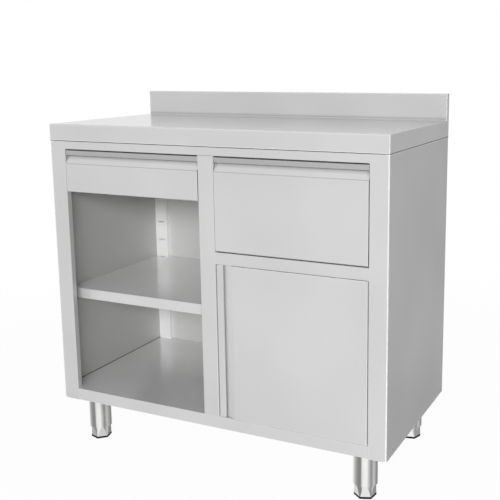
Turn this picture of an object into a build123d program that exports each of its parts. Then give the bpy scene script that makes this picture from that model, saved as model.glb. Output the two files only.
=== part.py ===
from build123d import *

import os

os.makedirs("parts", exist_ok=True)

# Stainless-steel coffee station table, in millimetres.
# X runs to the right, Y to the rear and Z up, from the floor under the middle of the table.

# Overall size
table_width = 1000
table_depth = 500
leg_height = 130
cabinet_height = 759
apron_height = 46
upstand_height = 75
upstand_thickness = 20

# Sheet metal: thickness, radius of a fold's middle line, widths of the plain flanges
sheet = 1.2
top_sheet = 1.5
fold_radius = 1.8
edge_radius = 3
flange = 20
rear_flange = 30
hem = 14

# Front frame
side_stile_width = 50
centre_stile_width = 47
left_bay_width = 430
stile_return = 16
top_rail_height = 23
cross_rail_height = 32
cross_rail_depth = 45
bottom_rail_height = 34

# Drawer fronts and door, with the pull folded into one edge
front_thickness = 20
front_gap = 3
side_gap = 1.5
door_gap = 1
left_front_height = 116
right_front_height = 244
pull_lip = 14
pull_opening = 23
door_pull_lip = 18
door_pull_opening = 29
lip_setback = 1
lip_lean = 2.5
lip_return = 4
liner_drop = 4.5

# Drawer boxes and their runners
box_sheet = 1
box_lift = 10
box_headroom = 21
box_end_gap = 36
box_rim = 6
runner_end_gap = 26
runner_height = 46
runner_width = 13
runner_gap = 0.4
bracket_height = 52

# Shelf, its uprights and its clips
shelf_rise = 291
shelf_edge = 30
shelf_return = 14
shelf_setback = 45
shelf_clearance = 1
upright_width = 44
partition_upright_width = 20
front_upright_depth = 18
rear_upright_depth = 13
upright_top_gap = 4
slot_rows = 3
slot_pitch = 60
slot_height = 3
slot_drop = 2
clip_thickness = 2
clip_width = 8
clip_ledge = 22
stiffener_width = 60
stiffener_depth = 15

# Door hinge and catch
pivot_inset = 36
pivot_depth = 9.5
pin_radius = 5
pin_depth = 18
pin_clearance = 0.05
bush_wall = 3
catch_length = 40
catch_height = 12
catch_depth = 16
catch_gap = 0.3
strike_thickness = 1.2

# Board under the worktop and the bolts that hold the worktop down
board_thickness = 18
board_margin = 6
bolt_neck = 5
bolt_clearance = 0.6
bolt_inset = 9
bolt_head_radius = 4.5
bolt_head_height = 3
side_bolt_pitch = 150
front_bolt_pitch = 300

# Legs
leg_inset_x = 77
leg_inset_y = 60
leg_diameter = 64
leg_wall = 2
channel_web = 90
channel_lip = 15
channel_lift = 6
socket_side = 80
socket_plate = 4
socket_depth = 30
socket_wall = 3
leg_bolt_pitch = 60
leg_bolt_neck = 8
leg_bolt_head_radius = 6.5
leg_bolt_head_height = 5
foot_height = 35
foot_diameter = 57
foot_base_across = 50
foot_gap = 0.3
foot_chamfer = 1
spindle_radius = 8
spindle_length = 58
plug_height = 25
pad_thickness = 3
pad_inset = 0.5
ring_sides = 8
hex_sides = 6
front_left_turn = -16
front_right_turn = 22
rear_left_turn = 30
rear_right_turn = 12

# Planes and edges that several pieces share
half_sheet = sheet / 2
left = -table_width / 2
right = table_width / 2
front = -table_depth / 2
rear = table_depth / 2
underside = leg_height
seam = underside + cabinet_height
top = seam + apron_height
upstand_top = top + upstand_height
upstand_face = rear - upstand_thickness
floor_top = underside + bottom_rail_height
rail_bottom = seam - top_rail_height
left_bay_start = left + side_stile_width
left_bay_end = left_bay_start + left_bay_width
right_bay_start = left_bay_end + centre_stile_width
right_bay_end = right - side_stile_width
partition_x = (left_bay_end + right_bay_start) / 2
back_face = rear - 2 * sheet
left_wall = left + sheet
right_wall = right - sheet
partition_left = partition_x - half_sheet
partition_right = partition_x + half_sheet

front_top = rail_bottom - front_gap
left_front_bottom = front_top - left_front_height
right_front_bottom = front_top - right_front_height
cross_rail_top = right_front_bottom - front_gap
cross_rail_bottom = cross_rail_top - cross_rail_height
door_bottom = floor_top + door_gap
door_top = cross_rail_bottom - door_gap
door_height = door_top - door_bottom
left_front_width = left_bay_width - 2 * side_gap
right_bay_width = right_bay_end - right_bay_start
right_front_width = right_bay_width - 2 * side_gap
door_right = right_bay_end - side_gap

box_front = front + front_thickness
box_depth = back_face - box_end_gap - box_front
left_box_bottom = left_front_bottom + box_lift
left_box_height = left_front_height - box_lift - box_headroom
right_box_bottom = right_front_bottom + box_lift
right_box_height = right_front_height - box_lift - box_headroom
left_runner_level = left_box_bottom + left_box_height / 2
right_runner_level = right_box_bottom + right_box_height / 2

shelf_top = floor_top + shelf_rise
shelf_bottom = shelf_top - shelf_edge
first_slot = shelf_top - slot_drop
front_slot_face = front + front_upright_depth
rear_slot_face = back_face - rear_upright_depth
shelf_front = front + shelf_setback
shelf_rear = rear_slot_face - 2 * clip_thickness - shelf_clearance
upright_height = left_runner_level - bracket_height / 2 - upright_top_gap - floor_top


def folded(points):
    """Section of a folded sheet along its middle line, drawn into the sketch in progress."""
    with BuildLine() as middle_line:
        FilletPolyline(points, radius=fold_radius)
    trace(middle_line.line, sheet)


def creased(points, thickness=sheet):
    """Section of a sheet with sharp square folds, for hidden pieces, drawn into the sketch in progress."""
    with BuildLine() as middle_line:
        Polyline(points)
    trace(middle_line.line, thickness)
    with Locations(*points[1:-1]):
        Rectangle(thickness, thickness)


def save(piece, name):
    """Label a finished piece and write it under the same name."""
    piece.part.label = name
    export_step(piece.part, f"parts/{name}.step")


# Square-necked bolts go up through the cabinet's top flanges into the worktop's hem
bolt_hole = bolt_neck + bolt_clearance
side_bolt_x = table_width / 2 - bolt_inset
side_bolts = [(x, y) for x in (-side_bolt_x, side_bolt_x) for y in (-side_bolt_pitch, 0, side_bolt_pitch)]
front_bolts = [(x, front + bolt_inset) for x in (-front_bolt_pitch, front_bolt_pitch)]

# Worktop: one sheet folded down on all sides and up into the upstand, its corners welded and ground
with BuildPart() as worktop:
    with BuildSketch(Plane.YZ) as worktop_section:
        with BuildLine():
            Polyline(
                (front, seam),
                (front, top),
                (upstand_face, top),
                (upstand_face, upstand_top),
                (rear, upstand_top),
                (rear, seam),
                close=True,
            )
        make_face()
        hem_corners = worktop_section.vertices().group_by(Axis.Y)[0]
        fillet(worktop_section.vertices() - hem_corners, edge_radius)
    extrude(amount=table_width / 2, both=True)
    offset(amount=-top_sheet, openings=worktop.faces().sort_by(Axis.Z)[0])
    with BuildSketch(Plane.XY.offset(seam)):
        Rectangle(table_width, table_depth)
        Rectangle(table_width - 2 * hem, table_depth - 2 * hem, mode=Mode.SUBTRACT)
        with Locations(*side_bolts, *front_bolts):
            Rectangle(bolt_hole, bolt_hole, mode=Mode.SUBTRACT)
    extrude(amount=top_sheet)
    chamfer(worktop.faces().sort_by(Axis.Z)[0].outer_wire().edges(), sheet)
save(worktop, "worktop")

# Board glued under the worktop's sheet, which deadens it and carries the load on it
board_front = front + hem + board_margin
board_rear = upstand_face - board_margin
with BuildPart() as worktop_board:
    with BuildSketch(Plane.XY.offset(top - top_sheet - board_thickness)):
        with Locations((0, (board_front + board_rear) / 2)):
            Rectangle(table_width - 2 * (hem + board_margin), board_rear - board_front)
    extrude(amount=board_thickness)
save(worktop_board, "worktop_board")

# Bolts of the worktop, through a flange and the hem
with BuildPart() as worktop_bolts:
    with BuildSketch(Plane.XY.offset(seam - sheet - bolt_head_height)):
        with Locations(*side_bolts, *front_bolts):
            RegularPolygon(bolt_head_radius, hex_sides)
    extrude(amount=bolt_head_height)
    with BuildSketch(Plane.XY.offset(seam - sheet)):
        with Locations(*side_bolts, *front_bolts):
            Rectangle(bolt_neck, bolt_neck)
    extrude(amount=sheet + top_sheet + bolt_head_height)
save(worktop_bolts, "worktop_bolts")

# Side panel: folded round the front corner into a stile with a return, and round the rear corner.
# Flanges at its top and bottom stiffen it, and the top one carries the worktop.
side_flange_rear = back_face - flange - sheet
with BuildPart() as left_side_panel:
    with BuildSketch(Plane.XY.offset(underside)):
        folded(
            [
                (left_bay_start - half_sheet, front + stile_return),
                (left_bay_start - half_sheet, front + half_sheet),
                (left + half_sheet, front + half_sheet),
                (left + half_sheet, rear - half_sheet),
                (left + rear_flange, rear - half_sheet),
            ]
        )
    extrude(amount=cabinet_height)
    with BuildSketch(Plane.XY.offset(underside), Plane.XY.offset(seam - sheet)):
        with Locations((left + sheet, front + sheet)):
            Rectangle(side_stile_width - 2 * sheet, stile_return - sheet, align=Align.MIN)
            Rectangle(flange - sheet, side_flange_rear - front - sheet, align=Align.MIN)
    extrude(amount=sheet)
    with BuildSketch(Plane.XY.offset(seam - sheet)):
        with Locations(*side_bolts):
            Rectangle(bolt_hole, bolt_hole)
    extrude(amount=sheet, mode=Mode.SUBTRACT)
save(left_side_panel, "left_side_panel")

with BuildPart() as right_side_panel:
    mirror(left_side_panel.part, about=Plane.YZ)
save(right_side_panel, "right_side_panel")

# Back panel: stands inside the rear flanges of the sides, folded forward at its top and bottom
with BuildPart() as back_panel:
    with BuildSketch(Plane.YZ.offset(left_wall + fold_radius)):
        creased(
            [
                (back_face - flange, seam - half_sheet),
                (back_face + half_sheet, seam - half_sheet),
                (back_face + half_sheet, underside + half_sheet),
                (back_face - flange, underside + half_sheet),
            ]
        )
    extrude(amount=right_wall - left_wall - 2 * fold_radius)
save(back_panel, "back_panel")

# Floor: its front edge is folded down into the bottom rail, between the two side stiles
with BuildPart() as floor_panel:
    with BuildSketch(Plane.YZ.offset(left_wall)):
        folded(
            [
                (back_face - half_sheet, floor_top - flange),
                (back_face - half_sheet, floor_top - half_sheet),
                (front + half_sheet, floor_top - half_sheet),
                (front + half_sheet, underside + half_sheet),
                (front + flange, underside + half_sheet),
            ]
        )
    extrude(amount=right_wall - left_wall)
    with BuildSketch(Plane.XY.offset(underside)):
        with Locations((left, front)):
            Rectangle(side_stile_width, flange, align=Align.MIN)
        with Locations((right, front)):
            Rectangle(side_stile_width, flange, align=(Align.MAX, Align.MIN))
    extrude(amount=bottom_rail_height, mode=Mode.SUBTRACT)
save(floor_panel, "floor_panel")

# Rails across the front: channels between the stiles
with BuildPart() as top_rail:
    with BuildSketch(Plane.YZ.offset(left_bay_start)):
        folded(
            [
                (front + stile_return, rail_bottom + half_sheet),
                (front + half_sheet, rail_bottom + half_sheet),
                (front + half_sheet, seam - half_sheet),
                (front + flange, seam - half_sheet),
            ]
        )
    extrude(amount=right_bay_end - left_bay_start)
    with BuildSketch(Plane.XY.offset(seam - sheet)):
        with Locations(*front_bolts):
            Rectangle(bolt_hole, bolt_hole)
    extrude(amount=sheet, mode=Mode.SUBTRACT)
save(top_rail, "top_rail")

with BuildPart() as cross_rail:
    with BuildSketch(Plane.YZ.offset(right_bay_start)):
        folded(
            [
                (front + stile_return, cross_rail_top - half_sheet),
                (front + half_sheet, cross_rail_top - half_sheet),
                (front + half_sheet, cross_rail_bottom + half_sheet),
                (front + cross_rail_depth, cross_rail_bottom + half_sheet),
            ]
        )
    extrude(amount=right_bay_width)
save(cross_rail, "cross_rail")

# Centre stile: a channel between the bottom rail and the top rail
with BuildPart() as centre_stile:
    with BuildSketch(Plane.XY.offset(floor_top)):
        folded(
            [
                (left_bay_end + half_sheet, front + stile_return),
                (left_bay_end + half_sheet, front + half_sheet),
                (right_bay_start - half_sheet, front + half_sheet),
                (right_bay_start - half_sheet, front + stile_return),
            ]
        )
    extrude(amount=rail_bottom - floor_top)
save(centre_stile, "centre_stile")

# Partition between the bays: its front flange lies behind the centre stile
with BuildPart() as centre_partition:
    with BuildSketch(Plane.XY.offset(floor_top)):
        creased(
            [
                (partition_x + stile_return, front + sheet + half_sheet),
                (partition_x, front + sheet + half_sheet),
                (partition_x, back_face - half_sheet),
                (partition_x + stile_return, back_face - half_sheet),
            ]
        )
    extrude(amount=rail_bottom - floor_top)
save(centre_partition, "centre_partition")

# Slotted uprights in the corners of the open bay, which carry the shelf at a choice of heights
slot_levels = [first_slot + row * slot_pitch for row in range(slot_rows)]
front_root = front + sheet + fold_radius
uprights = {
    "front_left_upright": (left_wall, 1, upright_width, front_root, front_slot_face, 1),
    "rear_left_upright": (left_wall, 1, upright_width, back_face, rear_slot_face, -1),
    "front_right_upright": (partition_left, -1, partition_upright_width, front_root, front_slot_face, 1),
    "rear_right_upright": (partition_left, -1, partition_upright_width, back_face, rear_slot_face, -1),
}
for name, (wall, inward, width, root, face, outward) in uprights.items():
    near_side = wall + inward * half_sheet
    far_side = wall + inward * (width - half_sheet)
    middle_face = face - outward * half_sheet
    with BuildPart() as upright:
        with BuildSketch(Plane.XY.offset(floor_top)):
            creased([(near_side, root), (near_side, middle_face), (far_side, middle_face), (far_side, root)])
        extrude(amount=upright_height)
        with BuildSketch(Plane.XZ.offset(-middle_face)):
            with Locations(*[(wall + inward * width / 2, level) for level in slot_levels]):
                Rectangle(width / 2, slot_height)
        extrude(amount=sheet, both=True, mode=Mode.SUBTRACT)
    save(upright, name)

# Shelf of the open bay: deep folds at its front and rear, plain folds at its ends, and a tongue that
# reaches the back panel between the rear uprights
shelf_start = left_wall + shelf_clearance
shelf_end = partition_left - shelf_clearance
with BuildPart() as shelf:
    with BuildSketch(Plane.YZ.offset(shelf_start)):
        folded(
            [
                (shelf_front + shelf_return, shelf_bottom + half_sheet),
                (shelf_front + half_sheet, shelf_bottom + half_sheet),
                (shelf_front + half_sheet, shelf_top - half_sheet),
                (shelf_rear - half_sheet, shelf_top - half_sheet),
                (shelf_rear - half_sheet, shelf_bottom + half_sheet),
                (shelf_rear - shelf_return, shelf_bottom + half_sheet),
            ]
        )
    extrude(amount=shelf_end - shelf_start)
    with BuildSketch(Plane.YZ.offset(shelf_start), Plane.YZ.offset(shelf_end - sheet)):
        with Locations(((shelf_front + shelf_rear) / 2, shelf_top - half_sheet)):
            Rectangle(shelf_rear - shelf_front - 2 * sheet, flange, align=(Align.CENTER, Align.MAX))
    extrude(amount=sheet)
    tongue_start = left_wall + upright_width + shelf_clearance
    tongue_end = partition_left - partition_upright_width - shelf_clearance
    tongue_face = back_face - shelf_clearance - half_sheet
    with BuildSketch(Plane.YZ.offset(tongue_start)):
        creased(
            [
                (shelf_rear - 2 * fold_radius, shelf_top - half_sheet),
                (tongue_face, shelf_top - half_sheet),
                (tongue_face, shelf_top - flange),
            ]
        )
    extrude(amount=tongue_end - tongue_start)
save(shelf, "shelf")

# Stiffener welded under the shelf, a hat channel along its length
with BuildPart() as shelf_stiffener:
    stiffener_top = shelf_top - sheet - half_sheet
    stiffener_bottom = stiffener_top - stiffener_depth
    stiffener_y = (shelf_front + shelf_rear) / 2
    with BuildSketch(Plane.YZ.offset(shelf_start + flange)):
        creased(
            [
                (stiffener_y - stiffener_width / 2, stiffener_top),
                (stiffener_y - stiffener_width / 4, stiffener_top),
                (stiffener_y - stiffener_width / 4, stiffener_bottom),
                (stiffener_y + stiffener_width / 4, stiffener_bottom),
                (stiffener_y + stiffener_width / 4, stiffener_top),
                (stiffener_y + stiffener_width / 2, stiffener_top),
            ]
        )
    extrude(amount=shelf_end - shelf_start - 2 * flange)
save(shelf_stiffener, "shelf_stiffener")

# Clips: the tongue hooks into a slot, and the ledge below it carries the shelf's edge
clip_x = [left_wall + upright_width / 2, partition_left - partition_upright_width / 2]
ledge_level = shelf_bottom - clip_thickness / 2
with BuildPart() as shelf_clips:
    for clip_place in clip_x:
        for face, toward in ((front_slot_face, 1), (rear_slot_face, -1)):
            riser = face + toward * 1.5 * clip_thickness
            reach = shelf_front + clip_ledge if toward > 0 else shelf_rear - clip_ledge
            with BuildSketch(Plane.YZ.offset(clip_place - clip_width / 2)):
                creased(
                    [
                        (face - toward * 2 * clip_thickness, first_slot),
                        (riser, first_slot),
                        (riser, ledge_level),
                        (reach, ledge_level),
                    ],
                    clip_thickness,
                )
            extrude(amount=clip_width)
save(shelf_clips, "shelf_clips")

# Brackets that carry the runners, level with the edges of the bays
bracket_front = front + stile_return
bracket_rear = back_face - sheet - fold_radius
brackets = {
    "left_drawer_left_bracket": (left_wall, left_bay_start, -1, left_runner_level),
    "left_drawer_right_bracket": (partition_left, left_bay_end, 1, left_runner_level),
    "right_drawer_left_bracket": (partition_right, right_bay_start, -1, right_runner_level),
    "right_drawer_right_bracket": (right_wall, right_bay_end, 1, right_runner_level),
}
for name, (wall, bay_edge, outward, level) in brackets.items():
    web = bay_edge + outward * half_sheet
    bracket_top = level + bracket_height / 2 - half_sheet
    bracket_bottom = level - bracket_height / 2 + half_sheet
    with BuildPart() as bracket:
        with BuildSketch(Plane.XZ.offset(-bracket_rear)):
            creased([(wall, bracket_top), (web, bracket_top), (web, bracket_bottom), (wall, bracket_bottom)])
        extrude(amount=bracket_rear - bracket_front)
    save(bracket, name)

# Telescopic runners: on each side of a drawer an outer, a middle and an inner channel nest with a
# running gap. Each is given by the depths of its web and of its flanges' tips from the bay's edge.
runner_rear = back_face - runner_end_gap
runner_length = runner_rear - box_front
runner_members = {
    "outer_runners": (half_sheet, runner_width - 3 * sheet),
    "middle_runners": (sheet + runner_gap + half_sheet, runner_width - sheet - 2 * runner_gap),
    "inner_runners": (runner_width - half_sheet, 2 * sheet + 3 * runner_gap),
}
drawers = {
    "left_drawer": (left_bay_start, left_bay_end, left_runner_level),
    "right_drawer": (right_bay_start, right_bay_end, right_runner_level),
}
for drawer, (bay_start, bay_end, level) in drawers.items():
    for nesting, (member, (web_depth, tip_depth)) in enumerate(runner_members.items()):
        half_height = runner_height / 2 - nesting * (sheet + runner_gap) - half_sheet
        with BuildPart() as runner:
            for bay_edge, inward in ((bay_start, 1), (bay_end, -1)):
                web = bay_edge + inward * web_depth
                tip = bay_edge + inward * tip_depth
                with BuildSketch(Plane.XZ.offset(-runner_rear)):
                    creased(
                        [
                            (tip, level + half_height),
                            (web, level + half_height),
                            (web, level - half_height),
                            (tip, level - half_height),
                        ]
                    )
                extrude(amount=runner_length)
        save(runner, f"{drawer}_{member}")

# Drawer boxes: trays folded up from a sheet, welded at the corners, with a narrow rim turned in
boxes = {
    "left_drawer_box": (left_bay_start, left_bay_end, left_box_bottom, left_box_height),
    "right_drawer_box": (right_bay_start, right_bay_end, right_box_bottom, right_box_height),
}
for name, (bay_start, bay_end, bottom, height) in boxes.items():
    box_width = bay_end - bay_start - 2 * runner_width
    middle = ((bay_start + bay_end) / 2, box_front + box_depth / 2)
    with BuildPart() as box:
        with BuildSketch(Plane.XY.offset(bottom)):
            with Locations(middle):
                Rectangle(box_width, box_depth)
        extrude(amount=height)
        fillet(box.edges().group_by(Axis.Z)[0], edge_radius)
        offset(amount=-box_sheet, openings=box.faces().sort_by(Axis.Z)[-1])
        with BuildSketch(Plane.XY.offset(bottom + height - box_sheet)):
            with Locations(middle):
                Rectangle(box_width, box_depth)
                Rectangle(box_width - 2 * box_rim, box_depth - 2 * box_rim, mode=Mode.SUBTRACT)
        extrude(amount=box_sheet)
    save(box, name)


def skin_line(height, lip, opening):
    """Middle line of a front's outer skin: bottom return, face, slope into the pull, top and lip."""
    lip_top = lip_setback + half_sheet
    lip_bottom = lip_top + lip_lean
    return [
        (front_thickness, half_sheet),
        (half_sheet, half_sheet),
        (half_sheet, height - lip - opening),
        (front_thickness - half_sheet, height - half_sheet),
        (lip_top, height - half_sheet),
        (lip_bottom, height - lip + half_sheet),
        (lip_bottom + lip_return, height - lip + half_sheet),
    ]


def skin_end(height, lip, opening):
    """End plate of a front, closed up to the slope of the pull, drawn into the sketch in progress."""
    lean = (front_thickness - sheet) / (lip + opening - half_sheet)
    slope_depth = front_thickness - half_sheet - (liner_drop - half_sheet) * lean
    with BuildLine() as outline:
        Polyline(
            (half_sheet, 0),
            (front_thickness, 0),
            (front_thickness, height - liner_drop),
            (slope_depth, height - liner_drop),
            (half_sheet, height - lip - opening),
            close=True,
        )
    make_face(outline.edges())


def liner_line(height):
    """Middle line of a front's inner liner: a flange on the bottom return, and the rear face."""
    inner = front_thickness - half_sheet
    return [
        (front_thickness / 4, sheet + half_sheet),
        (inner, sheet + half_sheet),
        (inner, height - liner_drop),
    ]


# Drawer fronts: an outer skin with the pull folded along its top edge, closed behind by a liner
drawer_fronts = {
    "left_drawer": (left_bay_start + side_gap, left_front_width, left_front_bottom, left_front_height),
    "right_drawer": (right_bay_start + side_gap, right_front_width, right_front_bottom, right_front_height),
}
for drawer, (start, width, bottom, height) in drawer_fronts.items():
    section = Plane(origin=(start, front, bottom), x_dir=(0, 1, 0), z_dir=(1, 0, 0))
    with BuildPart() as skin:
        with BuildSketch(section):
            folded(skin_line(height, pull_lip, pull_opening))
        extrude(amount=width)
        with BuildSketch(section, section.offset(width - sheet)):
            skin_end(height, pull_lip, pull_opening)
        extrude(amount=sheet)
    save(skin, f"{drawer}_front")
    with BuildPart() as liner:
        with BuildSketch(section.offset(sheet)):
            creased(liner_line(height))
        extrude(amount=width - 2 * sheet)
    save(liner, f"{drawer}_liner")

# Door: the same sheet work stood on end, with the pull along its left edge and a bush at each end
bush_radius = pin_radius + pin_clearance + bush_wall
pivot = (pivot_depth, pivot_inset)
door_section = Plane(origin=(door_right, front, door_bottom), x_dir=(0, 1, 0), z_dir=(0, 0, 1))
with BuildPart() as door_skin:
    with BuildSketch(door_section):
        folded(skin_line(right_front_width, door_pull_lip, door_pull_opening))
    extrude(amount=door_height)
    with BuildSketch(door_section, door_section.offset(door_height - sheet)):
        skin_end(right_front_width, door_pull_lip, door_pull_opening)
    extrude(amount=sheet)
    with BuildSketch(door_section):
        with Locations(pivot):
            Circle(bush_radius)
    extrude(amount=door_height, mode=Mode.SUBTRACT)
save(door_skin, "door_skin")

with BuildPart() as door_liner:
    with BuildSketch(door_section.offset(sheet)):
        creased(liner_line(right_front_width))
    extrude(amount=door_height - 2 * sheet)
save(door_liner, "door_liner")

# Hinge bushes: closed sleeves pressed into the ends of the door, which rest and turn on the pins
bush_length = pin_depth + bush_wall
with BuildPart() as door_bushes:
    with BuildSketch(door_section, door_section.offset(door_height - bush_length)):
        with Locations(pivot):
            Circle(bush_radius)
    extrude(amount=bush_length)
    with BuildSketch(door_section, door_section.offset(door_height - pin_depth)):
        with Locations(pivot):
            Circle(pin_radius + pin_clearance)
    extrude(amount=pin_depth, mode=Mode.SUBTRACT)
save(door_bushes, "door_bushes")

# Hinge pins: the lower one stands on the floor panel, and the upper one hangs from the cross rail
pivot_place = (door_right - pivot_inset, front + pivot_depth)
pin_length = door_gap + pin_depth - pin_clearance
with BuildPart() as door_pins:
    with BuildSketch(Plane.XY.offset(floor_top), Plane.XY.offset(cross_rail_bottom - pin_length)):
        with Locations(pivot_place):
            Circle(pin_radius)
    extrude(amount=pin_length)
save(door_pins, "door_pins")

# Magnetic catch under the cross rail, and the strike plate on the back of the door that it holds
catch_x = right_bay_start + side_gap + door_pull_lip + door_pull_opening + catch_length
catch_front = box_front + strike_thickness + catch_gap
with BuildPart() as catch_magnet:
    with BuildSketch(Plane.XY.offset(cross_rail_bottom - catch_height)):
        with Locations((catch_x, catch_front)):
            Rectangle(catch_length, catch_depth, align=(Align.CENTER, Align.MIN))
    extrude(amount=catch_height)
    chamfer(catch_magnet.edges().filter_by(Axis.Z), sheet)
save(catch_magnet, "catch_magnet")

strike_middle = cross_rail_bottom - catch_height / 2 - door_gap
with BuildPart() as strike_plate:
    with BuildSketch(Plane.XZ.offset(-box_front)):
        with Locations((catch_x, strike_middle)):
            Rectangle(catch_length, catch_height - sheet)
    extrude(amount=-strike_thickness)
save(strike_plate, "strike_plate")

# Leg channels: hats welded under the floor, one on each side, that carry the leg sockets
leg_x = table_width / 2 - leg_inset_x
leg_y = table_depth / 2 - leg_inset_y
channel_top = floor_top - sheet - half_sheet
channel_face = underside + channel_lift
channel_front = front + flange + sheet
channel_rear = back_face - flange - sheet
leg_bolt_hole = leg_bolt_neck + bolt_clearance
for name, x in (("left_leg_channel", -leg_x), ("right_leg_channel", leg_x)):
    with BuildPart() as channel:
        with BuildSketch(Plane.XZ.offset(-channel_rear)):
            creased(
                [
                    (x - channel_web / 2 - channel_lip, channel_top),
                    (x - channel_web / 2, channel_top),
                    (x - channel_web / 2, channel_face + half_sheet),
                    (x + channel_web / 2, channel_face + half_sheet),
                    (x + channel_web / 2, channel_top),
                    (x + channel_web / 2 + channel_lip, channel_top),
                ]
            )
        extrude(amount=channel_rear - channel_front)
        with BuildSketch(Plane.XY.offset(channel_face)):
            with Locations((x, -leg_y), (x, leg_y)):
                with GridLocations(leg_bolt_pitch, leg_bolt_pitch, 2, 2):
                    Rectangle(leg_bolt_hole, leg_bolt_hole)
        extrude(amount=sheet, mode=Mode.SUBTRACT)
    save(channel, name)

# Leg sockets: a bolted plate with an octagonal ring below it, over which the leg's tube is pushed.
# Each leg is given by its place and the turn at which its foot comes to rest.
legs = {
    "front_left": (-leg_x, -leg_y, front_left_turn),
    "front_right": (leg_x, -leg_y, front_right_turn),
    "rear_left": (-leg_x, leg_y, rear_left_turn),
    "rear_right": (leg_x, leg_y, rear_right_turn),
}
leg_places = [(x, y) for x, y, turn in legs.values()]
plate_bottom = channel_face - socket_plate
leg_radius = leg_diameter / 2
leg_inside = leg_radius - leg_wall
ring_radius = leg_inside - pin_clearance
with BuildPart() as leg_sockets:
    with BuildSketch(Plane.XY.offset(plate_bottom)):
        with Locations(*leg_places):
            Rectangle(socket_side, socket_side)
            with GridLocations(leg_bolt_pitch, leg_bolt_pitch, 2, 2):
                Rectangle(leg_bolt_hole, leg_bolt_hole, mode=Mode.SUBTRACT)
    extrude(amount=socket_plate)
    with BuildSketch(Plane.XY.offset(plate_bottom - socket_depth)):
        with Locations(*leg_places):
            RegularPolygon(ring_radius, ring_sides)
            RegularPolygon(ring_radius - socket_wall, ring_sides, mode=Mode.SUBTRACT)
    extrude(amount=socket_depth)
save(leg_sockets, "leg_sockets")

# Leg bolts: heads below the plates, necks up through the channels
with BuildPart() as leg_bolts:
    with BuildSketch(Plane.XY.offset(plate_bottom - leg_bolt_head_height)):
        with Locations(*leg_places):
            with GridLocations(leg_bolt_pitch, leg_bolt_pitch, 2, 2):
                RegularPolygon(leg_bolt_head_radius, hex_sides)
    extrude(amount=leg_bolt_head_height)
    with BuildSketch(Plane.XY.offset(plate_bottom)):
        with Locations(*leg_places):
            with GridLocations(leg_bolt_pitch, leg_bolt_pitch, 2, 2):
                Rectangle(leg_bolt_neck, leg_bolt_neck)
    extrude(amount=socket_plate + sheet + leg_bolt_head_height)
save(leg_bolts, "leg_bolts")

# Threaded plugs: octagonal plates welded inside the lower ends of the legs
with BuildPart() as leg_plugs:
    with BuildSketch(Plane.XY.offset(foot_height)):
        with Locations(*leg_places):
            RegularPolygon(leg_inside, ring_sides)
            Circle(spindle_radius + pin_clearance, mode=Mode.SUBTRACT)
    extrude(amount=plug_height)
save(leg_plugs, "leg_plugs")

# Leg tubes, from the sockets' plates down to the feet
with BuildPart() as leg_tubes:
    with BuildSketch(Plane.XY.offset(foot_height)):
        with Locations(*leg_places):
            Circle(leg_radius)
            Circle(leg_inside, mode=Mode.SUBTRACT)
    extrude(amount=plate_bottom - foot_height)
save(leg_tubes, "leg_tubes")

# Feet: each has a spindle that screws into the plug. It is round at its top, and six flats that lean in
# toward its base give a spanner its hold.
foot_top = foot_height - foot_gap
for corner, (x, y, turn) in legs.items():
    with BuildPart() as foot:
        with BuildSketch(Plane.XY.offset(pad_thickness)):
            with Locations((x, y)):
                RegularPolygon(foot_base_across / 2, hex_sides, major_radius=False, rotation=turn)
        with BuildSketch(Plane.XY.offset(foot_top)):
            with Locations((x, y)):
                RegularPolygon(foot_diameter / 2, hex_sides, major_radius=False, rotation=turn)
        loft()
        chamfer(foot.edges().group_by(Axis.Z)[0], foot_chamfer)
        with BuildSketch(Plane.XY.offset(pad_thickness)):
            with Locations((x, y)):
                Circle(foot_diameter / 2)
        extrude(amount=foot_top - pad_thickness, mode=Mode.INTERSECT)
        with BuildSketch(Plane.XY.offset(foot_top)):
            with Locations((x, y)):
                Circle(spindle_radius)
        extrude(amount=spindle_length)
    save(foot, f"{corner}_foot")
    with BuildPart() as pad:
        with BuildSketch():
            with Locations((x, y)):
                RegularPolygon(foot_base_across / 2 - pad_inset, hex_sides, major_radius=False, rotation=turn)
        extrude(amount=pad_thickness)
    save(pad, f"{corner}_pad")
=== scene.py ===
import math

import bmesh
import bpy
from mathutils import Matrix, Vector


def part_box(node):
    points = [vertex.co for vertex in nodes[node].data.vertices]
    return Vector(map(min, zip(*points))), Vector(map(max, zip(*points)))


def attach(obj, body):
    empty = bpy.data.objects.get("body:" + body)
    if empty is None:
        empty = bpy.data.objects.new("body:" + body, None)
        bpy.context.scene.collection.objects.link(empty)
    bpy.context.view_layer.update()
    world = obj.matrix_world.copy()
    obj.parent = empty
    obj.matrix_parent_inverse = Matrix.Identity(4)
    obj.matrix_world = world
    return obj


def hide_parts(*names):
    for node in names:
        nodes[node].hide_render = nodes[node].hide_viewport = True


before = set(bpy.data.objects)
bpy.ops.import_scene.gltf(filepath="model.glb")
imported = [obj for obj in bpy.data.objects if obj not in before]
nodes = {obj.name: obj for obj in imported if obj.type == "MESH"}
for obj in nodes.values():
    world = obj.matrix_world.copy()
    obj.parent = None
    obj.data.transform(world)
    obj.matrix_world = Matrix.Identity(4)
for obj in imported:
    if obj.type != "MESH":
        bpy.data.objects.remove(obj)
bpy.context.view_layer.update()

# Cabinet shell: the sides, back, floor, rails, stiles and partition, with the leg channels below.
# Stainless steel sheet, cut, folded and spot-welded. Its face was brushed on a belt, which leaves long fine
# scratches and a satin shine that draws reflections out across the grain.
MM = 0.001


def linear(hex_colour):
    """An sRGB hex colour as the linear colour that a shader takes."""
    shares = [int(hex_colour[start:start + 2], 16) / 255 for start in (0, 2, 4)]
    return [s / 12.92 if s <= 0.04045 else ((s + 0.055) / 1.055) ** 2.4 for s in shares] + [1]


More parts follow.
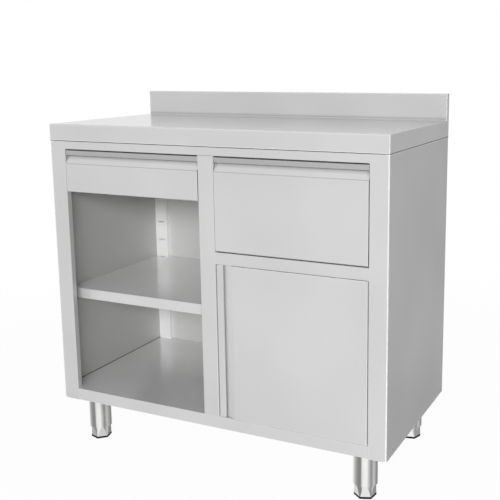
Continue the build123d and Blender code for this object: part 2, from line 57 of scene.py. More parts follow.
def add(tree, kind, settings, links=None):
    """A new node of that kind, with its settings and the outputs that feed its inputs.

    An input goes by its name or its number. In a mix node, 0 is the share, and the two values to mix are
    2 and 3 for numbers, 4 and 5 for vectors, and 6 and 7 for colours.
    """
    node = tree.nodes.new(kind)
    for name, value in settings.items():
        if isinstance(name, int) or name in node.inputs:
            node.inputs[name].default_value = value
        else:
            setattr(node, name, value)
    for name, output in (links or {}).items():
        tree.links.new(output, node.inputs[name])
    return node


def blank_material(name):
    """A material with nothing in it, its node tree and its output."""
    material = bpy.data.materials.new(name)
    material.use_nodes = True
    material.node_tree.nodes.clear()
    return material, material.node_tree, add(material.node_tree, "ShaderNodeOutputMaterial", {})


def dress(material, *names):
    """Gives CAD nodes their finish."""
    for name in names:
        nodes[name].material_slots[0].material = material


def brushed_stainless(name, along, edge, corner_edge=None, pull=None, shade_reach=None, painted_inside_tone=None,
                      tones=("E0E0E0", "E2E2E2"), metal=0.5):
    """Belt-brushed stainless steel: its grain runs along one axis, and its folds have a radius, the edge.

    corner_edge is a wider radius for the folds at the table's own corners, and pull is the axis, lip, bend
    and tone of a pull, whose tone is painted shade on its lip and bend. film is how far from a ledge the
    upright faces are darkened with painted shade, and painted_inside_tone is the colour of the sheet's
    unbrushed back inside the table; it is a painted tone, set to the light and shade that fall there.
    """
    material, tree, output = blank_material(name)
    coordinates = add(tree, "ShaderNodeTexCoord", {}).outputs
    place = coordinates["Object"]
    split = add(tree, "ShaderNodeSeparateXYZ", {}, {0: place}).outputs
    faces = add(tree, "ShaderNodeSeparateXYZ", {}, {0: coordinates["Normal"]}).outputs
    facing = add(tree, "ShaderNodeNewGeometry", {}).outputs["Normal"]

    # Real scratches are about 0.1 mm wide; these are 1.6 mm, as fine as the picture can show. Faces that
    # look along the grain, such as the ends of a wide piece, are brushed the other way.
    scratch_width, scratch_length = 1.6 * MM, 220 * MM
    second = "YXX"["XYZ".index(along)]
    scales = [[1 / (scratch_length if axis == way else scratch_width) for axis in "XYZ"]
              for way in along + second]
    end_share = 0.7
    looks = add(tree, "ShaderNodeMath", {"operation": "ABSOLUTE"}, {0: faces[along]}).outputs[0]
    end_on = {"operation": "GREATER_THAN", 1: end_share}
    end_on = add(tree, "ShaderNodeMath", end_on, {0: looks}).outputs[0]
    scale = {"data_type": "VECTOR", 4: scales[0], 5: scales[1]}
    scale = add(tree, "ShaderNodeMix", scale, {0: end_on}).outputs[1]
    drawn = add(tree, "ShaderNodeMapping", {}, {"Vector": place, "Scale": scale}).outputs["Vector"]
    scratches = add(tree, "ShaderNodeTexNoise", {"Scale": 1, "Detail": 3}, {"Vector": drawn}).outputs["Fac"]
    brushed = {"data_type": "RGBA", 6: linear(tones[0]), 7: linear(tones[1])}
    colour = add(tree, "ShaderNodeMix", brushed, {0: scratches}).outputs[2]

    # Where the belt pressed less, wide clouds are left a shade darker.
    cloud_size = 260 * MM
    clouding = {"Scale": 1 / cloud_size, "Detail": 1}
    clouds = add(tree, "ShaderNodeTexNoise", clouding, {"Vector": place}).outputs["Fac"]
    patch = {"From Min": 0.35, "From Max": 0.65}
    patch = add(tree, "ShaderNodeMapRange", patch, {"Value": clouds}).outputs[0]
    worn = {"data_type": "RGBA", "blend_type": "MULTIPLY", 7: linear("F9F9F9")}
    colour = add(tree, "ShaderNodeMix", worn, {0: patch, 6: colour}).outputs[2]

    # Brushing gives a satin roughness. Use has rubbed the faces that look straight up smoother.
    satin, smoother, level_share = (0.28, 0.295), 0.17, 0.9
    gloss = {"From Min": 0.3, "From Max": 0.7, "To Min": satin[0], "To Max": satin[1]}
    rough = add(tree, "ShaderNodeMapRange", gloss, {"Value": scratches}).outputs[0]
    on_top = {"operation": "GREATER_THAN", 1: level_share}
    on_top = add(tree, "ShaderNodeMath", on_top, {0: faces["Z"]}).outputs[0]
    rough = add(tree, "ShaderNodeMix", {"data_type": "FLOAT", 3: smoother}, {0: on_top, 2: rough}).outputs[0]

    if pull:
        # The lip of a pull and a thin line along its bend are darkened by the pull's tone: painted shade.
        side, lip, bend, tone = pull
        lip_front, bend_width = -243.5 * MM, 2.2 * MM
        ahead = {"operation": "LESS_THAN", 1: lip_front}
        ahead = add(tree, "ShaderNodeMath", ahead, {0: split["Y"]}).outputs[0]
        within = {"operation": "COMPARE", 1: sum(lip) / 2, 2: (lip[1] - lip[0]) / 2}
        within = add(tree, "ShaderNodeMath", within, {0: split[side]}).outputs[0]
        lip_shade_mask = add(tree, "ShaderNodeMath", {"operation": "MULTIPLY"}, {0: ahead, 1: within}).outputs[0]
        near = {"operation": "COMPARE", 1: bend, 2: bend_width / 2}
        near = add(tree, "ShaderNodeMath", near, {0: split[side]}).outputs[0]
        pull_shade_mask = add(tree, "ShaderNodeMath", {"operation": "MAXIMUM"}, {0: lip_shade_mask, 1: near}).outputs[0]
        pull_shading = {"data_type": "RGBA", "blend_type": "MULTIPLY", 7: linear(tone)}
        colour = add(tree, "ShaderNodeMix", pull_shading, {0: pull_shade_mask, 6: colour}).outputs[2]

    if painted_inside_tone:
        # The back of the sheet was not brushed, so it is more matt. Its tone is painted light and shade: it
        # is set darker on the sides' inward faces, which lie in shade, and paler on the back panel's, which
        # faces the lamp.
        # It is on the upright faces that look towards the table's middle.
        mill_matt = 0.5
        level = {"operation": "MULTIPLY", 1: (1, 1, 0)}
        level = add(tree, "ShaderNodeVectorMath", level, {0: place}).outputs[0]
        outward = {0: level, 1: coordinates["Normal"]}
        outward = add(tree, "ShaderNodeVectorMath", {"operation": "DOT_PRODUCT"}, outward).outputs["Value"]
        inside = add(tree, "ShaderNodeMath", {"operation": "LESS_THAN", 1: 0}, {0: outward}).outputs[0]
        painted_tone_and_matt = {"data_type": "RGBA", 7: linear(painted_inside_tone)}
        colour = add(tree, "ShaderNodeMix", painted_tone_and_matt, {0: inside, 6: colour}).outputs[2]
        painted_tone_and_matt = {"data_type": "FLOAT", 3: mill_matt}
        rough = add(tree, "ShaderNodeMix", painted_tone_and_matt, {0: inside, 2: rough}).outputs[0]

    if shade_reach:
        # Painted shade: upright faces are darkened close under a ledge or a lip and in corners, where shade
        # falls.
        darkest_shade = 0.03
        ledge = {"samples": 8, "Distance": shade_reach}
        ledge = add(tree, "ShaderNodeAmbientOcclusion", ledge, {"Normal": facing}).outputs["AO"]
        shade_factor = add(tree, "ShaderNodeMapRange", {"To Min": darkest_shade}, {"Value": ledge}).outputs[0]
        flat = add(tree, "ShaderNodeMath", {"operation": "ABSOLUTE"}, {0: faces["Z"]}).outputs[0]
        level = {"operation": "GREATER_THAN", 1: level_share}
        flat = add(tree, "ShaderNodeMath", level, {0: flat}).outputs[0]
        shade_factor = add(tree, "ShaderNodeMath", {"operation": "MAXIMUM"}, {0: shade_factor, 1: flat}).outputs[0]
        shade_mix = {"data_type": "RGBA", "blend_type": "MULTIPLY", 0: 1}
        colour = add(tree, "ShaderNodeMix", shade_mix, {6: colour, 7: shade_factor}).outputs[2]

    # Folds are rounded in the way that they take the light. Rails and stiles are ground flush, so only the
    # folds at the table's own corners can be wide.
    rounded = add(tree, "ShaderNodeBevel", {"samples": 6, "Radius": edge})
    if corner_edge:
        corner_start, corner_end = 488 * MM, 492 * MM
        off_middle = add(tree, "ShaderNodeMath", {"operation": "ABSOLUTE"}, {0: split["X"]}).outputs[0]
        wide = {"From Min": corner_start, "From Max": corner_end, "To Min": edge, "To Max": corner_edge}
        radius = add(tree, "ShaderNodeMapRange", wide, {"Value": off_middle}).outputs[0]
        tree.links.new(radius, rounded.inputs["Radius"])

    # The folds are painted white and given less metal, a painted highlight that shows them as thin bright
    # lines, and they are smoother. A fold is where the rounding turns the face, as the cosine of that angle
    # tells.
    fold_smooth, fold_metal, unturned, turned = 0.12, 0.1, 0.998, 0.97
    turning = {0: facing, 1: rounded.outputs[0]}
    turning = add(tree, "ShaderNodeVectorMath", {"operation": "DOT_PRODUCT"}, turning).outputs["Value"]
    folded = {"From Min": unturned, "From Max": turned}
    folded = add(tree, "ShaderNodeMapRange", folded, {"Value": turning}).outputs[0]
    fold_highlight_and_polish = {"data_type": "RGBA", 7: linear("FFFFFF")}
    colour = add(tree, "ShaderNodeMix", fold_highlight_and_polish, {0: folded, 6: colour}).outputs[2]
    fold_highlight_and_polish = {"data_type": "FLOAT", 3: fold_smooth}
    rough = add(tree, "ShaderNodeMix", fold_highlight_and_polish, {0: folded, 2: rough}).outputs[0]
    shine = {"data_type": "FLOAT", 2: metal, 3: fold_metal}
    shine = add(tree, "ShaderNodeMix", shine, {0: folded}).outputs[0]

    # The scratches are shallow, and draw light out across themselves. The part that is not metal scatters
    # light as a matt surface does. A slight lean of the grain gives the end faces a direction too.
    lean = 0.02
    grain = [1 if axis == along else lean if axis == second else 0 for axis in "XYZ"]
    grain = {"vector_type": "VECTOR", "convert_from": "OBJECT", "convert_to": "WORLD", "Vector": grain}
    grain = add(tree, "ShaderNodeVectorTransform", grain).outputs[0]
    crossing = {0: facing, 1: grain}
    across = add(tree, "ShaderNodeVectorMath", {"operation": "CROSS_PRODUCT"}, crossing).outputs[0]
    normal = {"Height": scratches, "Normal": rounded.outputs[0]}
    normal = add(tree, "ShaderNodeBump", {"Strength": 0.015, "Distance": 0.05 * MM}, normal).outputs[0]
    links = {"Base Color": colour, "Metallic": shine, "Roughness": rough, "Normal": normal}
    links["Tangent"] = across
    shader = add(tree, "ShaderNodeBsdfPrincipled", {"Anisotropic": 0.6}, links)
    tree.links.new(shader.outputs[0], output.inputs["Surface"])
    return material


# The sides are folded wide at the front corners. Their unbrushed backs are painted a darker grey, as painted
# shade inside the bay, and the back panel's a paler one, as painted light. The floor is painted a shade
# paler than the rest, as painted light on the bay's floor.
flush, corner_fold, soft_fold = 0.2 * MM, 4 * MM, 1 * MM
folded_sheet = brushed_stainless("stainless_brushed_sheet", "Z", flush, corner_fold, painted_inside_tone="D0D0CF")
back_sheet = brushed_stainless("stainless_brushed_back", "Z", flush, painted_inside_tone="F2F2F1")
upright_grain = brushed_stainless("stainless_brushed_upright", "Z", flush)
level_grain = brushed_stainless("stainless_brushed_level", "X", flush)
# Its paler tones are painted light on the bay's floor.
floor_grain = brushed_stainless("stainless_brushed_floor", "X", flush, tones=("E6E6E6", "E8E8E8"))
deep_grain = brushed_stainless("stainless_brushed_deep", "Y", soft_fold)
dress(folded_sheet, "left_side_panel", "right_side_panel")
dress(back_sheet, "back_panel")
dress(upright_grain, "centre_stile", "centre_partition")
dress(floor_grain, "floor_panel")
dress(level_grain, "top_rail", "cross_rail")
dress(deep_grain, "left_leg_channel", "right_leg_channel")


# Ground joints: the rails and the floor's front edge are welded to the stiles. Each weld is ground flush and
# brushed over with upright grain, so that only a faint strip of it shows on the front.
def skin(rings):
    """Points and faces of a closed skin drawn through rings of points, with a cap on each end ring."""
    count = len(rings[0])
    points = [point for ring in rings for point in ring]
    faces = [list(range(count)), list(range(len(points) - count, len(points)))]
    for start in range(0, len(points) - count, count):
        for step in range(count):
            after = (step + 1) % count
            faces.append((start + step, start + after, start + count + after, start + count + step))
    return points, faces


def add_piece(name, skins, material, body):
    """A piece made of closed skins, smooth but for its sharp edges, that moves with a CAD body."""
    sharp = math.radians(35)
    form = bmesh.new()
    for points, faces in skins:
        corners = [form.verts.new(point) for point in points]
        for face in faces:
            form.faces.new([corners[index] for index in face])
    bmesh.ops.recalc_face_normals(form, faces=form.faces)
    mesh = bpy.data.meshes.new(name)
    form.to_mesh(mesh)
    form.free()
    mesh.shade_smooth()
    mesh.set_sharp_from_angle(angle=sharp)
    mesh.materials.append(material)
    piece = bpy.data.objects.new(name, mesh)
    bpy.context.scene.collection.objects.link(piece)
    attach(piece, body)
    return piece


# Across the joint, from the rail on to the stile, and how deep behind the front, in millimetres.
front_face = -250
strip = [(-0.8, 1.6), (-0.8, 0.02), (-0.5, -0.03), (3.4, -0.03), (3.7, 0.02), (3.7, 1.6)]
bottom_rail, top_rail, cross_rail = (130.2, 164), (866, 888.4), (584, 616)
# Where a rail meets a stile, the way from the rail to the stile, and the rail's lower and upper edge.
meetings = [(-450, -1, bottom_rail), (-450, -1, top_rail), (450, 1, bottom_rail), (450, 1, top_rail),
            (450, 1, cross_rail), (27, -1, cross_rail)]
joints = [skin([[((x + way * across) * MM, (front_face + deep) * MM, z * MM) for across, deep in strip]
                for z in rail]) for x, way, rail in meetings]
add_piece("ground_joints", joints, upright_grain, "cabinet")


# Spot welds: they hold the back to the flanges of the sides and to the partition, and the leg channels to
# the floor. Each is a shallow dimple with a raised rim where the electrode pressed, left by the heat a
# little darker and rougher than the brushed sheet round it.
def plain_metal(name, pale, dark, mottle_size, roughness, edge=0):
    """A metal without grain: clouded between two tones, and smoother where it is paler."""
    material, tree, output = blank_material(name)
    place = add(tree, "ShaderNodeTexCoord", {}).outputs["Object"]
    mottle = {"Scale": 1 / mottle_size, "Detail": 2}
    mottle = add(tree, "ShaderNodeTexNoise", mottle, {"Vector": place}).outputs["Fac"]
    tones = {"data_type": "RGBA", 6: linear(dark), 7: linear(pale)}
    colour = add(tree, "ShaderNodeMix", tones, {0: mottle}).outputs[2]
    gloss = {"From Min": 0.3, "From Max": 0.7, "To Min": roughness[1], "To Max": roughness[0]}
    rough = add(tree, "ShaderNodeMapRange", gloss, {"Value": mottle}).outputs[0]
    links = {"Base Color": colour, "Roughness": rough}
    if edge:
        links["Normal"] = add(tree, "ShaderNodeBevel", {"samples": 6, "Radius": edge}).outputs[0]
    shader = add(tree, "ShaderNodeBsdfPrincipled", {"Metallic": 1}, links)
    tree.links.new(shader.outputs[0], output.inputs["Surface"])
    return material


def turned_skin(place, out, profile, count=16):
    """A round skin on a face at that place, from pairs of radius and height above the face."""
    turn = Vector(out).to_track_quat("Z", "Y")
    angles = [2 * math.pi * step / count for step in range(count)]
    return skin([[Vector(place) + turn @ Vector((r * math.cos(a), r * math.sin(a), up)) for a in angles]
                 for r, up in profile])


dimple = ((3.3, -0.05), (3.2, 0.02), (2.7, 0.14), (2.2, 0.03), (0.8, 0.01))
dimple = [(r * MM, up * MM) for r, up in dimple]
weld_pitch, lowest_weld, in_a_channel = 78 * MM, 160 * MM, 6
levels = [lowest_weld + step * weld_pitch for step in range(10)]
flange_face, back_face, lip_face = 250 * MM, 248.8 * MM, 161.6 * MM
flange_middle, partition_flange, channel_lips = 485 * MM, 11 * MM, (-475.5, -370.5, 370.5, 475.5)
to_rear, to_floor = (0, 1, 0), (0, 0, -1)
marks = [((side * flange_middle, flange_face, z), to_rear) for side in (-1, 1) for z in levels]
marks += [((partition_flange, back_face, z), to_rear) for z in levels]
for lip in channel_lips:
    for step in range(in_a_channel):
        marks.append(((lip * MM, (step - (in_a_channel - 1) / 2) * weld_pitch, lip_face), to_floor))
welds = [turned_skin(at, out, dimple) for at, out in marks]
weld_steel = plain_metal("stainless_welded", "C2C0BB", "A8A6A2", 4 * MM, (0.35, 0.5))
add_piece("spot_welds", welds, weld_steel, "cabinet")


# Board under the worktop sheet: raw chipboard, sawn to size and glued to the sheet so that it does not drum.
# Pressed wood chips of about 3 mm show as a dry, matt mottle of pale and dark brown.
def plain(name, pale, dark, grain_size, roughness):
    """A moulded or raw surface with a fine mottle."""
    material, tree, output = blank_material(name)
    place = add(tree, "ShaderNodeTexCoord", {}).outputs["Object"]
    mottle = {"Scale": 1 / grain_size, "Detail": 4}
    mottle = add(tree, "ShaderNodeTexNoise", mottle, {"Vector": place}).outputs["Fac"]
    tones = {"data_type": "RGBA", 6: linear(dark), 7: linear(pale)}
    colour = add(tree, "ShaderNodeMix", tones, {0: mottle}).outputs[2]
    shader = add(tree, "ShaderNodeBsdfPrincipled", {"Roughness": roughness}, {"Base Color": colour})
    tree.links.new(shader.outputs[0], output.inputs["Surface"])
    return material


dress(plain("chipboard_raw", "C9A877", "8F6E45", 3 * MM, 0.85), "worktop_board")

# Worktop: a sheet folded down on all sides and up into the upstand, with its corners welded, ground smooth
# and brushed over. Steel bolts hold it to the cabinet from inside; their turned heads are bright and plain.
# Close under its ledges the worktop's upright faces are darkened: painted shade.
worktop_fold, shade_distance = 2.4 * MM, 12 * MM
dress(brushed_stainless("stainless_brushed_worktop", "X", worktop_fold, shade_reach=shade_distance), "worktop")
turned_steel = plain_metal("steel_turned", "D0D0CE", "BCBCBA", 6 * MM, (0.2, 0.32))
dress(turned_steel, "worktop_bolts")

# Joint shadows: a thin dark bead in the joint between the worktop and the cabinet, on the front and both
# sides, and a dark fillet where each wall meets the floor. Their dark grey is painted shadow, put where
# these joints lie in shade; they are matt and stand hardly proud of the steel.
half_width, half_depth, joint_level, corner_radius = 500 * MM, 250 * MM, 889 * MM, 2 * MM
# A point of the joint at each station, and the way out of the cabinet there.
stations = [(-half_width, half_depth, -1, 0)]
corner_steps = 4
for side in (-1, 1):
    for step in range(corner_steps + 1):
        angle = math.radians(90 / corner_steps * (step if side < 0 else corner_steps - step))
        across, ahead = side * math.cos(angle), -math.sin(angle)
        stations.append((side * (half_width - corner_radius) + corner_radius * across,
                         corner_radius - half_depth + corner_radius * ahead, across, ahead))
stations.append((half_width, half_depth, 1, 0))
bead = [(-0.6, -0.8), (0.05, -0.8), (0.15, -0.5), (0.15, 0.5), (0.05, 0.8), (-0.6, 0.8)]
bead = [(out * MM, up * MM) for out, up in bead]
joint_strip = skin([[(x + across * out, y + ahead * out, joint_level + up) for out, up in bead]
             for x, y, across, ahead in stations])
# A dark matt grey that stands for the shadow in the joints: painted shadow.
joint_shadow_dark = plain("dark_strip_painted_shadow", "48484A", "3A3A3C", 8 * MM, 0.6)
add_piece("worktop_joint_shadow", [joint_strip], joint_shadow_dark, "cabinet")
# A fillet out from its wall and up from the floor, in millimetres.
floor_level, fillet_ends = 164, (-231, 234)
fillet = [(-0.2, -0.2), (1.5, -0.2), (1.3, 0.5), (0.5, 1.3), (-0.2, 1.5)]
# The walls of the two bays, and the way that each faces.
bay_walls = ((-498.8, 1), (2.9, -1), (4.1, 1), (498.8, -1))
fillets = [skin([[((wall + way * out) * MM, y * MM, (floor_level + up) * MM) for out, up in fillet]
                 for y in fillet_ends]) for wall, way in bay_walls]
add_piece("floor_joint_shadows", fillets, joint_shadow_dark, "cabinet")

# Open bay: four slotted uprights carry a shelf on clips, at a choice of heights. The uprights are rolled
# strip, which scatters more light than brushed sheet, and they are painted paler as painted light on posts
# deep in the bay. The shelf and its stiffener are folded from brushed sheet, painted a shade paler as
# painted light on the shelf, and the clips are stamped steel.
corners = ("front_left", "front_right", "rear_left", "rear_right")
painted_upright_tones = ("FAFAFA", "FCFCFC")
strip_steel = brushed_stainless("stainless_rolled_painted_pale", "Z", flush, tones=painted_upright_tones, metal=0.25)
dress(strip_steel, *[f"{corner}_upright" for corner in corners])
shelf_fold = 0.6 * MM
shelf_grain = brushed_stainless("stainless_brushed_shelf", "X", shelf_fold, tones=("EAEAEA", "ECECEC"))
dress(shelf_grain, "shelf", "shelf_stiffener")
dress(turned_steel, "shelf_clips")


# Drawer runners: three channels on each side, rolled from mild steel and zinc plated, which gives a slightly
# blue, clouded grey. Pan-head screws hold the inner channel to the box, and a folded bracket carries the
# outer one.
def screw_head(place, out, radius, turn, height):
    """A domed screw head with a cross recess that is turned by an angle in degrees."""
    # The recess reaches half way to the rim, and narrows towards its floor.
    arm, half, narrowing, recess_floor = 0.5 * radius, 0.13 * radius, 0.9, 0.3 * height
    between = (arm + half) / 2
    quarter = [(arm, 0), (arm, half), (between, half), (half, half), (half, between), (half, arm)]
    cross = []
    for step in range(4):
        cross += quarter
        quarter = [(-y, x) for x, y in quarter]
    angles = [2 * math.pi * step / len(cross) for step in range(len(cross))]
    # The dome from its rim to its flat top, as shares of the radius and heights.
    sunk = 0.05 * MM
    dome = ((1, -sunk), (1, 0.3 * height), (0.86, 0.72 * height), (0.6, height))
    rings = [[(share * radius * math.cos(a), share * radius * math.sin(a), up) for a in angles]
             for share, up in dome]
    rings.append([(x, y, height) for x, y in cross])
    rings.append([(narrowing * x, narrowing * y, recess_floor) for x, y in cross])
    stand = Vector(out).to_track_quat("Z", "Y")
    cosine, sine = math.cos(math.radians(turn)), math.sin(math.radians(turn))
    return skin([[Vector(place) + stand @ Vector((x * cosine - y * sine, x * sine + y * cosine, up))
                  for x, y, up in ring] for ring in rings])


drawers = ("left_drawer", "right_drawer")
zinc = plain_metal("steel_zinc_plated", "CDD1D4", "B2B7BB", 6 * MM, (0.26, 0.4))
pan_radius, pan_height, channel_sheet = 4 * MM, 2.2 * MM, 1.2 * MM
for drawer in drawers:
    dress(deep_grain, f"{drawer}_left_bracket", f"{drawer}_right_bracket")
    dress(zinc, *[f"{drawer}_{member}_runners" for member in ("outer", "middle", "inner")])
    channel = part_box(f"{drawer}_inner_runners")
    box_sides = [corner[0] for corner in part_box(f"{drawer}_box")]
    level = (channel[0][2] + channel[1][2]) / 2
    heads = []
    for wall, away in zip(box_sides, (-1, 1)):
        for step, along in enumerate((-190, -20, 170)):
            at = (wall + away * channel_sheet, along * MM, level)
            # Each screw came to rest at an angle of its own.
            turn = 37 * step + 20 * away
            heads.append(screw_head(at, (away, 0, 0), pan_radius, turn, pan_height))
    add_piece(f"{drawer}_runner_screws", heads, turned_steel, drawer)

# Drawers: a folded tray with welded corners behind a hollow front of two sheets, whose pull is one J-shaped
# fold along the top. The grain runs across the fronts, and the pull's lip and bend are darkened with painted
# shade. Four pan-head screws hold the tray to the front.
front_fold = 1.2 * MM
drawer_pull = ("Z", (849 * MM, 864 * MM), 826 * MM, "DEDEDE")
# The fronts are darkened close under the pull's lip and other ledges: painted shade.
drawer_grain = brushed_stainless("stainless_brushed_drawer_front", "X", front_fold, pull=drawer_pull,
                                 shade_reach=shade_distance)
tray_sheet = 1 * MM
# How far across and up the tray each screw is.
screw_places = ((0.2, 0.3), (0.8, 0.3), (0.2, 0.75), (0.8, 0.75))
for drawer in drawers:
    dress(drawer_grain, f"{drawer}_front")
    dress(level_grain, f"{drawer}_liner")
    dress(deep_grain, f"{drawer}_box")
    low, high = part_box(f"{drawer}_box")
    heads = []
    for step, (across, up) in enumerate(screw_places):
        at = (low[0] + across * (high[0] - low[0]), low[1] + tray_sheet, low[2] + up * (high[2] - low[2]))
        heads.append(screw_head(at, (0, 1, 0), pan_radius, 50 * step, pan_height))
    add_piece(f"{drawer}_front_screws", heads, turned_steel, drawer)

# Door: the same sheet work stood on end, with its grain and its pull upright. It turns on two steel pins in
# bushes of black nylon, which comes from the mould with a dull, fine-grained skin.
# The door pull's lip and bend are darkened a little: painted shade.
door_pull = ("X", (28 * MM, 46.5 * MM), 28 * MM, "F4F4F4")
dress(brushed_stainless("stainless_brushed_door", "Z", front_fold, pull=door_pull), "door_skin")
dress(upright_grain, "door_liner")
nylon = plain("nylon_moulded", "26262A", "1C1C1F", 1.5 * MM, 0.5)
dress(nylon, "door_bushes")
dress(turned_steel, "door_pins")

# Magnetic catch: a case under the cross rail, moulded in acetal, which is smooth and milky, and a strike
# plate of zinc-plated steel on the door. Two screws go up through the case, and the plate's two are sunk
# flush so that it can meet the magnet.
dress(plain("acetal_moulded", "DEDCD6", "D2D0CA", 1.5 * MM, 0.4), "catch_magnet")
dress(zinc, "strike_plate")
low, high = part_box("catch_magnet")
from_end = 9 * MM
ends = (low[0] + from_end, high[0] - from_end)
middle = (low[1] + high[1]) / 2
case_radius, case_height, plate_radius, plate_height = 2.8 * MM, 1.4 * MM, 3 * MM, 0.12 * MM
heads = [screw_head((x, middle, low[2]), (0, 0, -1), case_radius, 30 + 40 * x, case_height) for x in ends]
add_piece("catch_screws", heads, turned_steel, "cabinet")
low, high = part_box("strike_plate")
middle = (low[2] + high[2]) / 2
heads = [screw_head((x, high[1], middle), (0, 1, 0), plate_radius, 15 + 300 * x, plate_height) for x in ends]
add_piece("strike_screws", heads, turned_steel, "door")

# Legs: buffed stainless tubes pushed over zinc-plated sockets, which are bolted under the floor. They mirror
# the room a little softly, in upright bands. A nylon plug in the lower end of each takes the foot's spindle.
legs_steel = plain_metal("stainless_polished", "ECECEB", "E7E7E6", 30 * MM, (0.08, 0.14), edge=0.8 * MM)
dress(legs_steel, "leg_tubes")
dress(zinc, "leg_sockets")
dress(turned_steel, "leg_bolts")
dress(nylon, "leg_plugs")

# Feet: turned from stainless bar and buffed, with six milled flats for a spanner. The thread cut into each
# spindle shows when the foot is screwed out.
pitch, root, crest = 2.5 * MM, 8 * MM, 8.5 * MM
shoulder, thread_length = 34.7 * MM, 30 * MM
around, per_pitch = 20, 4
for corner in corners:
    dress(legs_steel, f"{corner}_foot")
    low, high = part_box(f"{corner}_foot")
    middle = [(low[axis] + high[axis]) / 2 for axis in (0, 1)]
    rings = []
    for ring in range(int(thread_length / pitch * per_pitch) + 1):
        points = []
        for step in range(around):
            phase = (ring / per_pitch - step / around) % 1
            r = root + (crest - root) * (1 - abs(2 * phase - 1))
            angle = 2 * math.pi * step / around
            points.append((middle[0] + r * math.cos(angle), middle[1] + r * math.sin(angle),
                           shoulder + ring * pitch / per_pitch))
        rings.append(points)
    add_piece(f"{corner}_thread", [skin(rings)], legs_steel, f"{corner}_foot")

# Pads: rubber cups that are pushed over the hexagonal bases of the feet, so that they grip the floor.
# They are moulded, which leaves them matt and nearly black.
rubber = plain("rubber_moulded", "17171A", "0E0E10", 2 * MM, 0.7)
# Half the width across the flats, and the height, from under the cup over its rim and down inside it.
cup = [(25.2, 0), (25.9, 0.8), (26.1, 5), (25.9, 5.5), (25.4, 5.5), (25, 3)]
cup = [(half * MM, z * MM) for half, z in cup]
# The corners of the hexagon are cut a little, which makes two points of each.
cut = math.radians(3)
to_corner = 1 / math.cos(math.pi / 6 - cut)
for corner in corners:
    pad = nodes[f"{corner}_pad"]
    low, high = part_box(f"{corner}_pad")
    middle = [(low[axis] + high[axis]) / 2 for axis in (0, 1)]
    first = pad.data.vertices[0].co
    turn = math.atan2(first[1] - middle[1], first[0] - middle[0])
    angles = [turn + side * math.pi / 3 + way * cut for side in range(6) for way in (-1, 1)]
    rings = [[(middle[0] + half * to_corner * math.cos(angle),
               middle[1] + half * to_corner * math.sin(angle), z) for angle in angles] for half, z in cup]
    cap = add_piece(f"{corner}_cup", [skin(rings)], rubber, f"{corner}_foot")
    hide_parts(f"{corner}_pad")

# Floor: a sheet of matt white paper, laid flat, that fades out into the white background. It is nearly as
# white as that background, and the table leaves only a faint shadow on it.
reach, fade_start, glow = 2.6, 0.9, 0.95
floor_mesh = bpy.data.meshes.new("studio_floor")
floor_edge = [(-reach, -reach, 0), (reach, -reach, 0), (reach, reach, 0), (-reach, reach, 0)]
floor_mesh.from_pydata(floor_edge, [], [(0, 1, 2, 3)])
floor = bpy.data.objects.new("studio_floor", floor_mesh)
bpy.context.scene.collection.objects.link(floor)
paper, tree, output = blank_material("paper_matt_white")
place = add(tree, "ShaderNodeTexCoord", {}).outputs["Object"]
distance = add(tree, "ShaderNodeVectorMath", {"operation": "LENGTH"}, {0: place}).outputs["Value"]
fade = {"interpolation_type": "SMOOTHSTEP", "From Min": reach, "From Max": fade_start}
solid = add(tree, "ShaderNodeMapRange", fade, {"Value": distance}).outputs[0]
path = add(tree, "ShaderNodeLightPath", {}).outputs
share = {"operation": "MULTIPLY", 1: glow}
share = add(tree, "ShaderNodeMath", share, {0: path["Is Camera Ray"]}).outputs[0]
matt = add(tree, "ShaderNodeBsdfDiffuse", {"Color": linear("F2F2F2")}).outputs[0]
white = add(tree, "ShaderNodeEmission", {"Color": linear("FFFFFF"), "Strength": 1}).outputs[0]
lit = add(tree, "ShaderNodeMixShader", {}, {0: share, 1: matt, 2: white}).outputs[0]
clear = add(tree, "ShaderNodeBsdfTransparent", {}).outputs[0]
faded = add(tree, "ShaderNodeMixShader", {}, {0: solid, 1: clear, 2: lit}).outputs[0]
# What mirrors or lets light through sees past the floor, to the room.
mirrored = {0: path["Is Glossy Ray"], 1: path["Is Transmission Ray"]}
mirrored = add(tree, "ShaderNodeMath", {"operation": "MAXIMUM"}, mirrored).outputs[0]
shown = add(tree, "ShaderNodeMixShader", {}, {0: mirrored, 1: faded, 2: clear}).outputs[0]
tree.links.new(shown, output.inputs["Surface"])
floor_mesh.materials.append(paper)

# Studio: the room that the steel mirrors. It is white at the left rear, grey in front and dark at the right,
# with a window at the right front. Low down, dark furniture stands between the lights, which gives polished
# legs their dark bands.
world = bpy.data.worlds.new("studio")
bpy.context.scene.world = world
world.use_nodes = True
tree = world.node_tree
tree.nodes.clear()
direction = add(tree, "ShaderNodeTexCoord", {}).outputs["Generated"]
split = add(tree, "ShaderNodeSeparateXYZ", {}, {0: direction}).outputs
bearing = add(tree, "ShaderNodeMath", {"operation": "ARCTAN2"}, {0: split["X"], 1: split["Y"]}).outputs[0]
whole_turn = {"From Min": -math.pi, "From Max": math.pi}
turned = add(tree, "ShaderNodeMapRange", whole_turn, {"Value": bearing}).outputs[0]
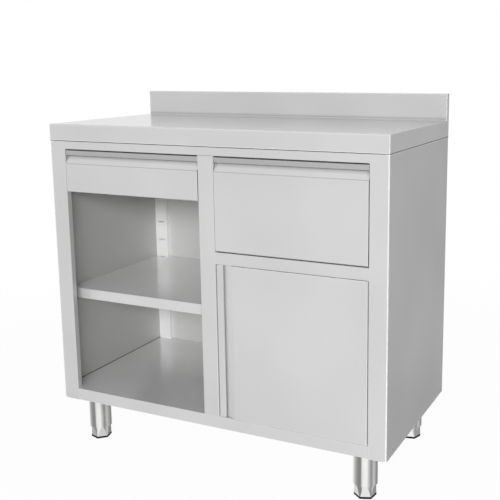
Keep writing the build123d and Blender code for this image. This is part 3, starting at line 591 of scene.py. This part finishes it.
# Bearings from the rear, in degrees to the right, and how bright the room is there.
walls = [(-175, 0.42), (-165, 0.41), (-150, 0.4), (-135, 0.43), (-116, 0.5), (-90, 0.75), (-60, 1.0),
         (-4, 1.0), (10, 0.43), (45, 0.36), (60, 0.1), (135, 0.1), (145, 0.65), (162, 0.65), (172, 0.46)]
low_down = [(-180, 1.02), (-168, 0.85), (-160, 0.31), (-142, 0.27), (-125, 0.32), (-96, 0.51), (-70, 0.85),
            (-20, 0.85), (6, 0.26), (40, 0.34), (72, 0.64), (105, 0.34), (125, 0.64), (145, 1.06)]
bands = []
for band in (walls, low_down):
    shades = add(tree, "ShaderNodeValToRGB", {}, {0: turned})
    ramp = shades.color_ramp
    ramp.interpolation = "EASE"
    while len(ramp.elements) < len(band):
        ramp.elements.new(0.5)
    for stop, (degrees, level) in zip(ramp.elements, band):
        stop.position = (degrees + 180) / 360
        stop.color = (level, level, level, 1)
    bands.append(shades.outputs[0])
# The walls go over into the other parts of the room between two heights of a direction, from -1 straight
# down to 1 straight up: the furniture low down, then an even ceiling and an even ground.
room, furniture = bands
ceiling, ground = (0.5, 0.5, 0.5, 1), (0.6, 0.6, 0.6, 1)
for start, full, even, uneven in ((-0.33, -0.39, {}, {7: furniture}), (0.35, 0.75, {7: ceiling}, {}),
                                  (-0.58, -0.88, {7: ground}, {})):
    part = {"interpolation_type": "SMOOTHSTEP", "From Min": start, "From Max": full}
    part = add(tree, "ShaderNodeMapRange", part, {"Value": split["Z"]}).outputs[0]
    links = {0: part, 6: room, **uneven}
    room = add(tree, "ShaderNodeMix", {"data_type": "RGBA", **even}, links).outputs[2]
# Behind the table there is plain white, whichever way it is looked at.
looked_at = add(tree, "ShaderNodeLightPath", {}).outputs["Is Camera Ray"]
backdrop = {"data_type": "RGBA", 7: linear("FFFFFF")}
room = add(tree, "ShaderNodeMix", backdrop, {0: looked_at, 6: room}).outputs[2]
background = add(tree, "ShaderNodeBackground", {"Strength": 1}, {"Color": room})
tree.links.new(background.outputs[0], add(tree, "ShaderNodeOutputWorld", {}).inputs["Surface"])

# Softbox: one wide, soft lamp in front of the table, behind the camera and higher than it. It lights the bay
# to its back, with a soft shade under the drawer and the shelf, and the steel does not mirror it.
lamp_data = bpy.data.lights.new("softbox", "AREA")
lamp_data.shape = "ELLIPSE"
lamp_data.size = 4.2
lamp_data.size_y = 1.2
lamp_data.energy = 374
lamp = bpy.data.objects.new("softbox", lamp_data)
bpy.context.scene.collection.objects.link(lamp)
lamp.visible_glossy = False
lamp.location = (2.4, -5.7, 2.35)
lamp.rotation_euler = [math.radians(angle) for angle in (74, 0, 23)]

# Camera: before the right front corner, a little higher than the worktop, looking slightly down. Its place,
# lens and shift were fitted to the table's straight edges.
camera_data = bpy.data.cameras.new("camera")
camera_data.lens = 59.482
camera_data.shift_x = -0.10356
camera_data.shift_y = -0.07702
camera = bpy.data.objects.new("camera", camera_data)
bpy.context.scene.collection.objects.link(camera)
camera.location = (1.1191, -2.0410, 1.0954)
camera.rotation_euler = [math.radians(angle) for angle in (79.846, 0.382, 25.145)]
bpy.context.scene.camera = camera
bpy.context.scene.view_settings.view_transform = "Standard"
